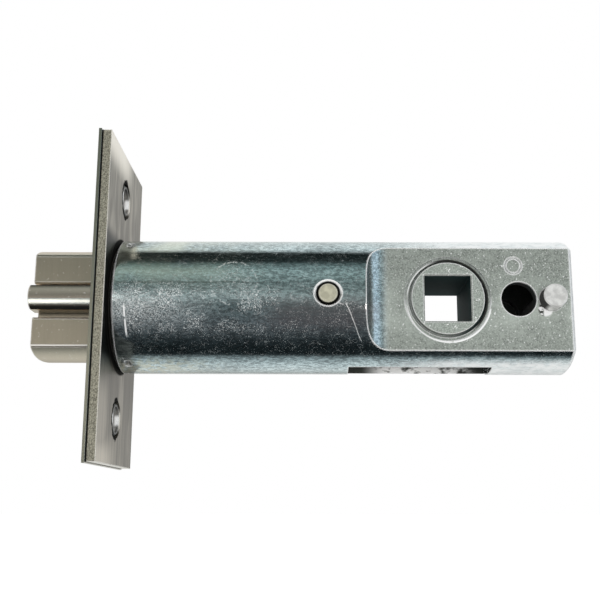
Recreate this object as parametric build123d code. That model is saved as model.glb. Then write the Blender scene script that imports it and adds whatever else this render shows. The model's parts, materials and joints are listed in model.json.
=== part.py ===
from build123d import *
import math
import os

# Tubular deadlatch with a 60 mm backset, in millimetres.
# Origin: centre of the faceplate's outer face, on the axis of the case.
# +X runs into the door, +Z is up, -Y is the side with the deadlock plunger.

# Driving dimensions: faceplate and forend
BACKSET = 60.0
PLATE_HEIGHT = 56.8
PLATE_WIDTH = 28.5
FACEPLATE_THICKNESS = 0.5
FOREND_THICKNESS = 1.7
FOREND_INSET = 0.2
SCREW_SPACING = 40.4
SCREW_HOLE_DIAMETER = 4.6
SCREW_HEAD_DIAMETER = 8.0
DIMPLE_LAND = 0.4
FOREND_HOLE_DIAMETER = 6.5
NECK_LENGTH = 5.3
NECK_WALL = 0.4

# Driving dimensions: case
CASE_RADIUS = 11.95
CASE_WALL = 1.2
CASE_REAR = 81.8
RIM_GAP = 0.6
FLAT_OFFSET = 7.8
FLAT_WALL = 2.25
FLAT_START = 45.8
END_WALL = 1.6
RIM_CHAMFER = 0.3
REAR_CHAMFER = 0.5
SLOT_FRONT = 43.0
SLOT_REAR = 68.0
SLOT_WIDTH = 7.6
STAKE_X = 4.8
STAKE_ANGLE = 29.0
STAKE_TURN = 6.0
STAKE_LENGTH = 1.8
STAKE_DEPTH = 0.5
EJECTOR_X = 71.5
EJECTOR_Z = 5.9
EJECTOR_DIAMETER = 3.1
EJECTOR_LINE = 0.3
EJECTOR_DEPTH = 0.2

# Driving dimensions: pins and the support-post hole
CROSS_PIN_X = 39.3
CROSS_PIN_DIAMETER = 3.5
CROSS_PIN_RIM = 4.8
END_PIN_SETBACK = 3.9
END_PIN_DIAMETER = 4.1
END_PIN_PROJECTION = 3.05
POST_HOLE_X = 72.3
POST_HOLE_DIAMETER = 6.1
POST_HOLE_SKIN = 0.6

# Driving dimensions: latch bolt and deadlock plunger
BOLT_FLAT = 5.8
BOLT_PROJECTION = 12.0
BOLT_REAR = 22.0
BOLT_TRAVEL = 12.0
BEVEL_START_Y = -5.5
BEVEL_END_X = -0.8
BOLT_CHAMFER = 0.3
PLUNGER_WIDTH = 4.4
PLUNGER_RISE = 0.45
PLUNGER_CROWN = 8.0
PLUNGER_LEAD = 0.35
PLUNGER_REAR = 3.0
PLUNGER_FLOOR = 3.3
GROOVE_WIDTH = 6.0
GROOVE_FLOOR = 3.1
GROOVE_END_WALL = 3.0
TAIL_THICKNESS = 1.1
TAIL_TOP = -4.0
TAIL_DEPTH = 1.1
TAIL_NECK_DEPTH = 0.7
TAIL_LUG_LENGTH = 4.0
TAIL_CAM_LENGTH = 5.0

# Driving dimensions: hub
SPINDLE_SQUARE = 8.0
JOURNAL_DIAMETER = 13.4
HUB_FACE_DIAMETER = 12.6
HUB_FACE_RISE = 0.5
HUB_SHOULDER_RECESS = 0.9
HUB_RING_DIAMETER = 14.8
HUB_RING_DEPTH = 0.3
HUB_FAR_RECESS = 0.95
HUB_FLANGE_RADIUS = 8.0
HUB_FLANGE_WIDTH = 2.1
EDGE_CHAMFER = 0.25
HUB_TURN = 80.0
ARM_TIP_RADIUS = 1.4
ARM_STEM_WIDTH = 2.2
ARM_THICKNESS = 2.8

# Driving dimensions: retractor, spring abutment and pawl
STRAP_THICKNESS = 1.3
STRAP_WIDTH = 5.2
STRAP_BEND = 1.8
PAD_LENGTH = 1.4
PAD_DEPTH = 2.3
PAD_CLEARANCE = 0.4
ARM_WINDOW_LENGTH = 6.6
ARM_WINDOW_WIDTH = 3.4
RIVET_RADIUS = 1.2
RIVET_HEAD_RADIUS = 1.9
RIVET_HEAD_HEIGHT = 0.8
RIVET_LENGTH = 5.0
RIVET_ANGLE = 51.0
ABUTMENT_LENGTH = 6.0
ABUTMENT_NEAR_FACE = 2.8
SPIGOT_RADIUS = 2.9
SPIGOT_LENGTH = 3.0
PAWL_THICKNESS = 1.5
PAWL_EYE_RADIUS = 3.0
PAWL_NOSE_GAP = 0.8
PAWL_NOSE_TOP = -4.4
PAWL_NOSE_DEPTH = 2.2
PAWL_FINGER_LENGTH = 4.8
PAWL_FINGER_DEPTH = 1.5
PAWL_BEND_LENGTH = 2.8
PAWL_TAIL_LENGTH = 5.9
PAWL_TAIL_DEPTH = 2.4

# Driving dimensions: springs
BOLT_SPRING_Y = 3.0
BOLT_SPRING_RADIUS = 3.8
BOLT_SPRING_WIRE = 0.9
BOLT_SPRING_TURNS = 7
BOLT_POCKET_FLOOR = 6.0
PLUNGER_SPRING_RADIUS = 0.9
PLUNGER_SPRING_WIRE = 0.35
PLUNGER_SPRING_TURNS = 9
PAWL_SPRING_RADIUS = 0.45
PAWL_SPRING_WIRE = 0.3
PAWL_SPRING_TURNS = 5
COIL_SIDES = 8

# Clearances
RUNNING = 0.3
SLIDING = 0.2
SEAT = 0.05
FIT = 0.03
BEARING = 0.06
OVERRUN = 1.0

# Places worked out from the sizes above
FOREND_REAR = FACEPLATE_THICKNESS + FOREND_THICKNESS
CASE_FRONT = FOREND_REAR + RIM_GAP
CASE_BORE = CASE_RADIUS - CASE_WALL
END_PIN_X = CASE_REAR - END_PIN_SETBACK
INNER_FLAT = FLAT_OFFSET - FLAT_WALL
NECK_REAR = FOREND_REAR + NECK_LENGTH
NECK_BORE = CASE_BORE - SEAT - NECK_WALL
BOLT_RADIUS = NECK_BORE - RUNNING
SHANK_RADIUS = CASE_BORE - RUNNING
PLUNGER_AXIS = PLUNGER_CROWN - PLUNGER_WIDTH / 2
TAIL_NEAR = BOLT_FLAT + SLIDING + TAIL_THICKNESS
TAIL_FAR = BOLT_FLAT + SLIDING
JOURNAL_RADIUS = JOURNAL_DIAMETER / 2
HUB_HALF = INNER_FLAT - SLIDING
ARM_REACH = BOLT_TRAVEL / (2 * math.sin(math.radians(HUB_TURN / 2)))
ARM_LEAN = HUB_TURN / 2
PAD_FRONT = BACKSET - BOLT_TRAVEL / 2 + ARM_TIP_RADIUS + PAD_CLEARANCE
STRAP_REAR = PAD_FRONT + PAD_LENGTH
WEB_REAR = BOLT_REAR + STRAP_THICKNESS
STRAP_HEIGHT = math.sqrt(CASE_BORE ** 2 - (STRAP_WIDTH / 2) ** 2) - 2 * RUNNING
RAIL_INNER = STRAP_HEIGHT - STRAP_THICKNESS
HUB_BARREL_RADIUS = STRAP_HEIGHT - PAD_DEPTH - 2 * RUNNING
RIVET_RING = SHANK_RADIUS - RIVET_HEAD_RADIUS - SEAT
RIVET_Y = RIVET_RING * math.cos(math.radians(RIVET_ANGLE))
RIVET_Z = RIVET_RING * math.sin(math.radians(RIVET_ANGLE))
ABUTMENT_FRONT = WEB_REAR + RIVET_HEAD_HEIGHT + BOLT_TRAVEL + 2 * RUNNING
ABUTMENT_REAR = ABUTMENT_FRONT + ABUTMENT_LENGTH
POCKET_RADIUS = BOLT_SPRING_RADIUS + BOLT_SPRING_WIRE / 2 + RUNNING
PAWL_FAR = ABUTMENT_NEAR_FACE + SLIDING
PAWL_NEAR = PAWL_FAR + PAWL_THICKNESS
PAWL_NOSE_X = BOLT_REAR + PAWL_NOSE_GAP
FINGER_TOP = TAIL_TOP - TAIL_DEPTH - RUNNING
EVERYWHERE = 4 * CASE_REAR


def block(x, y, z):
    """Box between the (low, high) pairs of each axis."""
    size = Box(x[1] - x[0], y[1] - y[0], z[1] - z[0])
    return Pos((x[0] + x[1]) / 2, (y[0] + y[1]) / 2, (z[0] + z[1]) / 2) * size


def rod_x(radius, x0, x1, y=0.0, z=0.0):
    """Round bar along X."""
    bar = Cylinder(radius, x1 - x0, align=(Align.CENTER, Align.CENTER, Align.MIN))
    return Pos(x0, y, z) * Rot(0, 90, 0) * bar


def rod_y(radius, y0, y1, x=0.0, z=0.0):
    """Round bar along Y."""
    bar = Cylinder(radius, y1 - y0, align=(Align.CENTER, Align.CENTER, Align.MIN))
    return Pos(x, y0, z) * Rot(-90, 0, 0) * bar


def cone_x(radius0, radius1, x0, x1, y=0.0, z=0.0):
    """Cone along X, from radius0 at x0 to radius1 at x1."""
    taper = Cone(radius0, radius1, x1 - x0, align=(Align.CENTER, Align.CENTER, Align.MIN))
    return Pos(x0, y, z) * Rot(0, 90, 0) * taper


def cone_y(radius0, radius1, y0, y1, x=0.0, z=0.0):
    """Cone along Y, from radius0 at y0 to radius1 at y1."""
    taper = Cone(radius0, radius1, y1 - y0, align=(Align.CENTER, Align.CENTER, Align.MIN))
    return Pos(x, y0, z) * Rot(-90, 0, 0) * taper


def plate_in_xz(points, y0, y1):
    """Flat plate whose outline is given as (x, z) points, between y0 and y1."""
    outline = Plane.XZ * make_face(Polyline(*points, close=True))
    return Pos(0, y0, 0) * extrude(outline, -(y1 - y0))


def coil(radius, wire, length, turns):
    """Open coil spring of square wire along Z, from 0 to length, in short straight runs."""
    count = turns * COIL_SIDES
    diagonal = wire * math.sqrt(2)
    rise = (length - diagonal) / count
    points = []
    for step in range(count + 1):
        angle = 2 * math.pi * step / COIL_SIDES
        points.append((radius * math.cos(angle), radius * math.sin(angle), diagonal / 2 + step * rise))
    path = Polyline(*points)
    section = Plane(path @ 0, x_dir=(0, 0, 1), z_dir=path % 0) * Rectangle(wire, wire)
    return sweep(section, path=path, transition=Transition.RIGHT)


def bolt_bar(radius, flat, x0, x1):
    """Round bar along X with its near side cut flat."""
    bar = rod_x(radius, x0, x1)
    return bar - block((x0 - OVERRUN, x1 + OVERRUN), (-EVERYWHERE, -flat), (-EVERYWHERE, EVERYWHERE))


def half_round_bar(half_width, x0, x1, floor):
    """Bar along X with a round crown on the near side, down to y = -floor."""
    crown = rod_x(half_width, x0, x1, -PLUNGER_AXIS, PLUNGER_RISE)
    height = (PLUNGER_RISE - half_width, PLUNGER_RISE + half_width)
    return crown + block((x0, x1), (-PLUNGER_AXIS, -floor), height)


def bolt_window(x0, x1):
    """Opening that lets the bolt and the plunger through the two plates."""
    bolt_hole = bolt_bar(NECK_BORE, BOLT_FLAT + RUNNING, x0, x1)
    return bolt_hole + half_round_bar(PLUNGER_WIDTH / 2 + RUNNING, x0, x1, 0.0)


def screw_places():
    """Heights of the two faceplate screws."""
    return (-SCREW_SPACING / 2, SCREW_SPACING / 2)


# Faceplate and forend

HEAD_RADIUS = SCREW_HEAD_DIAMETER / 2
DIMPLE_DEPTH = (SCREW_HEAD_DIAMETER - SCREW_HOLE_DIAMETER) / 2
DIMPLE_OUTSIDE = HEAD_RADIUS + FACEPLATE_THICKNESS * math.sqrt(2)


def make_outer_faceplate():
    """Thin steel plate with a formed 45 degree dimple at each screw."""
    half_w, half_h = PLATE_WIDTH / 2, PLATE_HEIGHT / 2
    plate = block((0, FACEPLATE_THICKNESS), (-half_w, half_w), (-half_h, half_h))
    plate -= bolt_window(-OVERRUN, FACEPLATE_THICKNESS + OVERRUN)
    hole_radius = SCREW_HOLE_DIAMETER / 2
    land_end = DIMPLE_DEPTH + DIMPLE_LAND
    for z in screw_places():
        plate += cone_x(DIMPLE_OUTSIDE, DIMPLE_OUTSIDE - land_end, 0, land_end, z=z)
        plate -= cone_x(HEAD_RADIUS, hole_radius, 0, DIMPLE_DEPTH, z=z)
        plate -= rod_x(hole_radius, 0, land_end, z=z)
    return plate


def make_inner_forend():
    """Backing plate with nests for the dimples and a neck that carries the case."""
    half_w, half_h = PLATE_WIDTH / 2 - FOREND_INSET, PLATE_HEIGHT / 2 - FOREND_INSET
    plate = block((FACEPLATE_THICKNESS, FOREND_REAR), (-half_w, half_w), (-half_h, half_h))
    plate -= bolt_window(0, FOREND_REAR + OVERRUN)
    hole_radius = FOREND_HOLE_DIAMETER / 2
    nest_radius = DIMPLE_OUTSIDE + SEAT * math.sqrt(2)
    for z in screw_places():
        plate -= rod_x(hole_radius, 0, FOREND_REAR + OVERRUN, z=z)
        plate -= cone_x(nest_radius, hole_radius, 0, nest_radius - hole_radius, z=z)
    neck = rod_x(CASE_BORE - SEAT, FOREND_REAR, NECK_REAR)
    neck -= rod_x(NECK_BORE, FOREND_REAR - OVERRUN, NECK_REAR + OVERRUN)
    return plate + neck


# Case

def flat_cutter(side):
    """What is milled off one side of the rear: a flat with a concave run-out."""
    depth = CASE_RADIUS - FLAT_OFFSET
    flat_x = FLAT_START + depth
    near, far = sorted((side * FLAT_OFFSET, side * 2 * CASE_RADIUS))
    cutter = block((flat_x, EVERYWHERE), (near, far), (-2 * CASE_RADIUS, 2 * CASE_RADIUS))
    return cutter + Pos(flat_x, side * CASE_RADIUS, 0) * Cylinder(depth, 4 * CASE_RADIUS)


def make_case():
    """The hollow case in one piece, before it is parted into two halves."""
    outside = rod_x(CASE_RADIUS, CASE_FRONT, CASE_REAR)
    outside = chamfer(outside.edges().group_by(Axis.X)[0], RIM_CHAMFER)
    for side in (-1, 1):
        outside -= flat_cutter(side)
    outside = chamfer(outside.edges().group_by(Axis.X)[-1], REAR_CHAMFER)
    tube_end = FLAT_START - CASE_WALL
    inside = rod_x(CASE_BORE, CASE_FRONT - OVERRUN, CASE_REAR - END_WALL)
    for side in (-1, 1):
        near, far = sorted((side * INNER_FLAT, side * 2 * CASE_RADIUS))
        inside -= block((tube_end, EVERYWHERE), (near, far), (-2 * CASE_RADIUS, 2 * CASE_RADIUS))
    case = outside - inside
    half_slot = SLOT_WIDTH / 2
    for z in ((-2 * CASE_RADIUS, -RAIL_INNER), (RAIL_INNER, 2 * CASE_RADIUS)):
        case -= block((SLOT_FRONT, SLOT_REAR), (-half_slot, half_slot), z)
    return case


def stake_dents(side):
    """Two small V dents punched behind the rim that hold a case half on the neck."""
    chisel = Rot(0, 45, 0) * Box(STAKE_LENGTH, STAKE_LENGTH, STAKE_LENGTH)
    reach = CASE_RADIUS - STAKE_DEPTH + STAKE_LENGTH / math.sqrt(2)
    dents = []
    for angle in (-side * STAKE_ANGLE, 180 + side * STAKE_ANGLE):
        dents.append(Pos(STAKE_X, 0, 0) * Rot(angle + STAKE_TURN, 0, 0) * Pos(0, 0, reach) * chisel)
    return dents


def ejector_mark():
    """Fine round line left in the near flat by the casting die."""
    y0, y1 = -FLAT_OFFSET - OVERRUN, -FLAT_OFFSET + EJECTOR_DEPTH
    radius = EJECTOR_DIAMETER / 2
    disc = rod_y(radius, y0, y1, EJECTOR_X, EJECTOR_Z)
    return disc - rod_y(radius - EJECTOR_LINE, y0, y1, EJECTOR_X, EJECTOR_Z)


def pin_countersink(side):
    """Bright rim cut round the cross pin on one side of the case."""
    rim, bore = CROSS_PIN_RIM / 2, CROSS_PIN_DIAMETER / 2
    surface, floor = side * CASE_RADIUS, side * (CASE_RADIUS - rim + bore)
    radii = (rim, bore) if side < 0 else (bore, rim)
    return cone_y(*radii, min(surface, floor), max(surface, floor), CROSS_PIN_X)


def make_case_half(side):
    """One die-cast half of the case, on the near (-1) or far (+1) side."""
    low, high = sorted((0, side * 2 * CASE_RADIUS))
    half = make_case() & block((-EVERYWHERE, EVERYWHERE), (low, high), (-EVERYWHERE, EVERYWHERE))
    hub_hole = JOURNAL_RADIUS + BEARING
    if side < 0:
        boss = rod_y(PAWL_EYE_RADIUS, -CASE_RADIUS, -PAWL_NEAR - SLIDING, CROSS_PIN_X)
        half += boss & rod_x(CASE_RADIUS, CASE_FRONT, CASE_REAR)
        ring_floor = -FLAT_OFFSET + HUB_RING_DEPTH
        half -= rod_y(HUB_RING_DIAMETER / 2, low, ring_floor, BACKSET)
        half -= ejector_mark()
    half -= rod_y(hub_hole, low, high, BACKSET)
    half -= rod_y(POST_HOLE_DIAMETER / 2, low, min(high, FLAT_OFFSET - POST_HOLE_SKIN), POST_HOLE_X)
    half -= rod_y(END_PIN_DIAMETER / 2 + FIT, low, high, END_PIN_X)
    half -= rod_y(CROSS_PIN_DIAMETER / 2 + FIT, low, high, CROSS_PIN_X)
    half -= pin_countersink(side)
    for dent in stake_dents(side):
        half -= dent
    return half


# Pins

def make_cross_pin():
    """Pin through the case that holds the spring abutment and carries the pawl."""
    pin = rod_y(CROSS_PIN_DIAMETER / 2, -CASE_RADIUS, CASE_RADIUS, CROSS_PIN_X)
    return chamfer(pin.edges().group_by(Axis.Y)[0], EDGE_CHAMFER)


def make_end_pin():
    """Pin that joins the halves at the rear and stands proud of the near flat."""
    pin = rod_y(END_PIN_DIAMETER / 2, -FLAT_OFFSET - END_PIN_PROJECTION, FLAT_OFFSET, END_PIN_X)
    return chamfer(pin.edges().group_by(Axis.Y)[0], EDGE_CHAMFER)


# Latch bolt, retractor and their rivets

def pawl_groove_z():
    """Height range of the groove that lets the lifted pawl into the bolt."""
    return (PAWL_NOSE_TOP - PAWL_NOSE_DEPTH - 3 * RUNNING, PAWL_NOSE_TOP + RUNNING)


def bevel_cutter():
    """What is cut off the bolt's head: its front curves back towards the far side."""
    front = (-BOLT_PROJECTION, BEVEL_START_Y)
    back = (BEVEL_END_X, BOLT_RADIUS)
    outside = -BOLT_PROJECTION - OVERRUN
    above = BOLT_RADIUS + OVERRUN
    corners = [back, (BEVEL_END_X, above), (outside, above), (outside, BEVEL_START_Y), front]
    outline = make_face(TangentArc(front, back, tangent=(0, 1)) + Polyline(*corners))
    return Pos(0, 0, -EVERYWHERE / 2) * extrude(outline, EVERYWHERE)


def make_latch_bolt():
    """D-section bolt with a bevelled head, a plunger groove and a spring pocket."""
    bolt = bolt_bar(BOLT_RADIUS, BOLT_FLAT, -BOLT_PROJECTION, BOLT_REAR)
    half_groove = GROOVE_WIDTH / 2
    groove_end = BOLT_REAR - GROOVE_END_WALL
    groove = block((-EVERYWHERE, groove_end), (-EVERYWHERE, -GROOVE_FLOOR), (-half_groove, half_groove))
    bolt -= groove
    near_edges = bolt.edges().filter_by(Axis.X).group_by(Axis.Y)[0]
    bolt = chamfer(near_edges, BOLT_CHAMFER)
    bolt += bolt_bar(SHANK_RADIUS, BOLT_FLAT, NECK_REAR + RUNNING, BOLT_REAR) - groove
    bolt -= bevel_cutter()
    bolt -= rod_x(POCKET_RADIUS, BOLT_POCKET_FLOOR, BOLT_REAR + OVERRUN, y=BOLT_SPRING_Y)
    nose_reach = PAWL_NOSE_X - BOLT_TRAVEL - RUNNING
    nose_floor = -PAWL_FAR + RUNNING
    bolt -= block((nose_reach, EVERYWHERE), (-EVERYWHERE, nose_floor), pawl_groove_z())
    for z in (-RIVET_Z, RIVET_Z):
        bolt -= rod_x(RIVET_RADIUS + FIT, WEB_REAR - RIVET_LENGTH, EVERYWHERE, RIVET_Y, z)
    return bolt


def make_retractor_fork():
    """Pressed U strap: a web riveted to the bolt and two rails that pass the hub."""
    middle = STRAP_HEIGHT - STRAP_THICKNESS / 2
    web_x = BOLT_REAR + STRAP_THICKNESS / 2
    corners = [(STRAP_REAR, middle), (web_x, middle), (web_x, -middle), (STRAP_REAR, -middle)]
    path = FilletPolyline(*corners, radius=STRAP_BEND)
    half_w = STRAP_WIDTH / 2
    fork = Pos(0, half_w, 0) * extrude(Plane.XZ * trace(path, STRAP_THICKNESS), STRAP_WIDTH)
    web_top = RIVET_Y + RIVET_HEAD_RADIUS + RUNNING
    web = rod_x(STRAP_HEIGHT - STRAP_BEND / 2, BOLT_REAR, WEB_REAR)
    fork += web & block((BOLT_REAR, WEB_REAR), (-half_w, web_top), (-EVERYWHERE, EVERYWHERE))
    fork -= rod_x(POCKET_RADIUS, BOLT_REAR - OVERRUN, WEB_REAR + OVERRUN, y=BOLT_SPRING_Y)
    window = (PAD_FRONT - ARM_WINDOW_LENGTH, PAD_FRONT)
    half_window = ARM_WINDOW_WIDTH / 2
    for up in (-1, 1):
        low, high = sorted((up * (STRAP_HEIGHT - PAD_DEPTH), up * STRAP_HEIGHT))
        fork += block((PAD_FRONT, STRAP_REAR), (-half_w, half_w), (low, high))
        fork -= block(window, (-half_window, half_window), (low, high))
        fork -= rod_x(RIVET_RADIUS + FIT, BOLT_REAR - OVERRUN, WEB_REAR + OVERRUN, RIVET_Y, up * RIVET_Z)
    return fork


def make_fork_rivets():
    """Two rivets that fix the retractor's web to the bolt."""
    rivets = []
    for z in (-RIVET_Z, RIVET_Z):
        shank = rod_x(RIVET_RADIUS, WEB_REAR - RIVET_LENGTH, WEB_REAR, RIVET_Y, z)
        head = cone_x(RIVET_HEAD_RADIUS, RIVET_RADIUS, WEB_REAR, WEB_REAR + RIVET_HEAD_HEIGHT, RIVET_Y, z)
        rivets.append(shank + head)
    return Compound(children=rivets)


# Deadlock plunger

def make_deadlock_plunger():
    """Half-round plunger beside the bolt, with a tail that holds the pawl in line."""
    front = -BOLT_PROJECTION - PLUNGER_LEAD
    plunger = half_round_bar(PLUNGER_WIDTH / 2, front, PLUNGER_REAR, PLUNGER_FLOOR)
    lug_front = FOREND_REAR + RUNNING
    lug_rear = lug_front + TAIL_LUG_LENGTH
    tail_rear = PAWL_NOSE_X - PAWL_NOSE_GAP
    cam_front = tail_rear - TAIL_CAM_LENGTH
    across = (-TAIL_NEAR, -TAIL_FAR)
    bottom = TAIL_TOP - TAIL_DEPTH
    outline = [
        (lug_front, 0),
        (lug_front, bottom),
        (cam_front, bottom + TAIL_DEPTH - TAIL_NECK_DEPTH),
        (cam_front + TAIL_DEPTH, bottom),
        (tail_rear, bottom),
        (tail_rear, TAIL_TOP),
        (lug_rear, TAIL_TOP),
        (lug_rear, 0),
    ]
    return plunger + plate_in_xz(outline, *across)


# Hub

def make_arm(lean):
    """One hub arm with a round tip, leaning from +Z by an angle about the hub's axis."""
    half_t = ARM_THICKNESS / 2
    half_stem = ARM_STEM_WIDTH / 2
    stem = block((-half_stem, half_stem), (-half_t, half_t), (0, ARM_REACH))
    arm = stem + rod_y(ARM_TIP_RADIUS, -half_t, half_t, z=ARM_REACH)
    return Pos(BACKSET, 0, 0) * Rot(0, lean, 0) * arm


def make_hub():
    """Spool with two journals, two arms and a square hole for the spindle."""
    face = -FLAT_OFFSET - HUB_FACE_RISE
    far_end = FLAT_OFFSET - HUB_FAR_RECESS
    journal = rod_y(JOURNAL_RADIUS, -FLAT_OFFSET + HUB_SHOULDER_RECESS, far_end, BACKSET)
    waist = HUB_HALF - HUB_FLANGE_WIDTH
    hub = journal - rod_y(2 * JOURNAL_RADIUS, -waist, waist, BACKSET)
    hub += rod_y(HUB_BARREL_RADIUS, -waist, waist, BACKSET)
    hub += rod_y(HUB_FLANGE_RADIUS, -HUB_HALF, -waist, BACKSET)
    hub += rod_y(HUB_FLANGE_RADIUS, waist, HUB_HALF, BACKSET)
    hub += rod_y(HUB_FACE_DIAMETER / 2, face, -waist, BACKSET)
    for lean in (-ARM_LEAN, ARM_LEAN - 180):
        hub += make_arm(lean)
    half_s = SPINDLE_SQUARE / 2
    square = (BACKSET - half_s, BACKSET + half_s)
    hub -= block(square, (-EVERYWHERE, EVERYWHERE), (-half_s, half_s))
    mouth = hub.edges().group_by(Axis.Y)[0].filter_by(GeomType.LINE)
    return chamfer(mouth, EDGE_CHAMFER)


# Spring abutment and pawl

def make_spring_abutment():
    """Block on the cross pin that takes the bolt spring and leaves room for the rails."""
    abutment = bolt_bar(SHANK_RADIUS, ABUTMENT_NEAR_FACE, ABUTMENT_FRONT, ABUTMENT_REAR)
    half_w = STRAP_WIDTH / 2 + RUNNING
    rail_room = RAIL_INNER - RUNNING
    for z in ((-EVERYWHERE, -rail_room), (rail_room, EVERYWHERE)):
        abutment -= block((-EVERYWHERE, EVERYWHERE), (-half_w, half_w), z)
    abutment += rod_x(SPIGOT_RADIUS, ABUTMENT_FRONT - SPIGOT_LENGTH, ABUTMENT_FRONT, y=BOLT_SPRING_Y)
    return abutment - rod_y(CROSS_PIN_DIAMETER / 2 + FIT, -CASE_RADIUS, CASE_RADIUS, CROSS_PIN_X)


def make_deadlock_pawl():
    """Flat lever on the cross pin whose nose blocks the bolt unless it is in line."""
    bottom = PAWL_NOSE_TOP - PAWL_NOSE_DEPTH
    heel = ABUTMENT_FRONT - 2 * RUNNING
    arm = [
        (PAWL_NOSE_X, PAWL_NOSE_TOP),
        (PAWL_NOSE_X, bottom),
        (heel, bottom),
        (CROSS_PIN_X + PAWL_EYE_RADIUS / 2, -PAWL_EYE_RADIUS * math.sqrt(3) / 2),
        (CROSS_PIN_X, 0),
        (CROSS_PIN_X - PAWL_EYE_RADIUS, 0),
        (heel, PAWL_NOSE_TOP),
    ]
    pawl = plate_in_xz(arm, -PAWL_NEAR, -PAWL_FAR)
    pawl += rod_y(PAWL_EYE_RADIUS, -PAWL_NEAR, -PAWL_FAR, CROSS_PIN_X)
    half_tail = PAWL_TAIL_DEPTH / 2
    tail = (CROSS_PIN_X, CROSS_PIN_X + PAWL_TAIL_LENGTH)
    pawl += block(tail, (-PAWL_NEAR, -PAWL_FAR), (-half_tail, half_tail))
    finger_z = (FINGER_TOP - PAWL_FINGER_DEPTH, FINGER_TOP)
    finger_x = (PAWL_NOSE_X - PAWL_FINGER_LENGTH, PAWL_NOSE_X + PAWL_BEND_LENGTH)
    pawl += block(finger_x, (-TAIL_NEAR, -TAIL_FAR), finger_z)
    pawl += block((PAWL_NOSE_X, finger_x[1]), (-TAIL_NEAR, -PAWL_FAR), finger_z)
    return pawl - rod_y(CROSS_PIN_DIAMETER / 2 + BEARING, -CASE_RADIUS, CASE_RADIUS, CROSS_PIN_X)


# Springs

def make_bolt_spring():
    """Coil spring from the bolt's pocket to the abutment."""
    front = BOLT_POCKET_FLOOR + SEAT
    length = ABUTMENT_FRONT - SEAT - front
    spring = coil(BOLT_SPRING_RADIUS, BOLT_SPRING_WIRE, length, BOLT_SPRING_TURNS)
    return Pos(front, BOLT_SPRING_Y, 0) * Rot(0, 90, 0) * spring


def make_plunger_spring():
    """Coil spring behind the plunger, in the bolt's groove."""
    front = PLUNGER_REAR + SEAT
    length = BOLT_REAR - GROOVE_END_WALL - SEAT - front
    middle = -(BOLT_FLAT + GROOVE_FLOOR) / 2
    spring = coil(PLUNGER_SPRING_RADIUS, PLUNGER_SPRING_WIRE, length, PLUNGER_SPRING_TURNS)
    return Pos(front, middle, 0) * Rot(0, 90, 0) * spring


def make_pawl_spring():
    """Small coil spring between the pawl's tail and the case wall above it."""
    y = -(PAWL_NEAR + PAWL_FAR) / 2
    x = CROSS_PIN_X + PAWL_TAIL_LENGTH - PAWL_THICKNESS
    foot = PAWL_TAIL_DEPTH / 2 + SEAT
    reach = PAWL_NEAR + PAWL_SPRING_WIRE
    length = math.sqrt(CASE_BORE ** 2 - reach ** 2) - RUNNING - foot
    return Pos(x, y, foot) * coil(PAWL_SPRING_RADIUS, PAWL_SPRING_WIRE, length, PAWL_SPRING_TURNS)


NODES = {
    "outer_faceplate": make_outer_faceplate(),
    "inner_forend": make_inner_forend(),
    "near_case_half": make_case_half(-1),
    "far_case_half": make_case_half(1),
    "cross_pin": make_cross_pin(),
    "end_pin": make_end_pin(),
    "spring_abutment": make_spring_abutment(),
    "bolt_spring": make_bolt_spring(),
    "latch_bolt": make_latch_bolt(),
    "retractor_fork": make_retractor_fork(),
    "fork_rivets": make_fork_rivets(),
    "deadlock_plunger": make_deadlock_plunger(),
    "plunger_spring": make_plunger_spring(),
    "hub": make_hub(),
    "deadlock_pawl": make_deadlock_pawl(),
    "pawl_spring": make_pawl_spring(),
}

os.makedirs("parts", exist_ok=True)
for name, solid in NODES.items():
    export_step(solid, f"parts/{name}.step")
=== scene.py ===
import json
import math

import bpy
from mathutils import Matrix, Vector


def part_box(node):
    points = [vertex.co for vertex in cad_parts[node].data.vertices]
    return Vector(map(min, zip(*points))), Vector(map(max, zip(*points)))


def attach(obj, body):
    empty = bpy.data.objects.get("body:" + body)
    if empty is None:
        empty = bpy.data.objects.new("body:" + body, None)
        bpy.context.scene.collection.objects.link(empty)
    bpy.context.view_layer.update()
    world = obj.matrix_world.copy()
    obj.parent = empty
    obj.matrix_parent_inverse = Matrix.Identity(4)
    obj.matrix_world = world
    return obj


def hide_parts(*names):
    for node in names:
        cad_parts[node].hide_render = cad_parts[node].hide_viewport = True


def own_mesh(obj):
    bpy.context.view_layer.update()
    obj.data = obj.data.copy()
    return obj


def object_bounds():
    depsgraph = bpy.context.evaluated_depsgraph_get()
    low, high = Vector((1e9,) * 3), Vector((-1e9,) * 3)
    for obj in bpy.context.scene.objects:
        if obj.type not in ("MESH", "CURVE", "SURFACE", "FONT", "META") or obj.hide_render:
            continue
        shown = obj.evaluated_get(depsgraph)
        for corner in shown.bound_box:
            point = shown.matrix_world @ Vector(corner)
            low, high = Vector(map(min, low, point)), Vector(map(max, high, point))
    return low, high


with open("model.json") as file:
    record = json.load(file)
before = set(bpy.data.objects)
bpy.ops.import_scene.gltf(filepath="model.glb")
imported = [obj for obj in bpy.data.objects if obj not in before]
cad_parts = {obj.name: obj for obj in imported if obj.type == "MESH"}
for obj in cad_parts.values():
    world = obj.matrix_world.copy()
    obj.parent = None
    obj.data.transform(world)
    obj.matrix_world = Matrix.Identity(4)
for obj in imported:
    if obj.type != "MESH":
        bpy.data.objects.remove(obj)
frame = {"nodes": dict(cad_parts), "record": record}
cad_low, cad_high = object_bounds()

# Tubular deadlatch: looks of every piece, in metres, in the frame of the solids.

MM = 0.001

# Camera that matches the photograph
CAMERA_PLACE = Vector((36.483, -157.366, -35.151)) * MM
CAMERA_TURN = (101.6859, -0.1308, -0.1644)
CAMERA_LENS = 53.49
CAMERA_SENSOR = 36.0
CAMERA_SHIFT = (-0.02218, 0.03719)
CAMERA_NEAREST = 0.005

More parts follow.
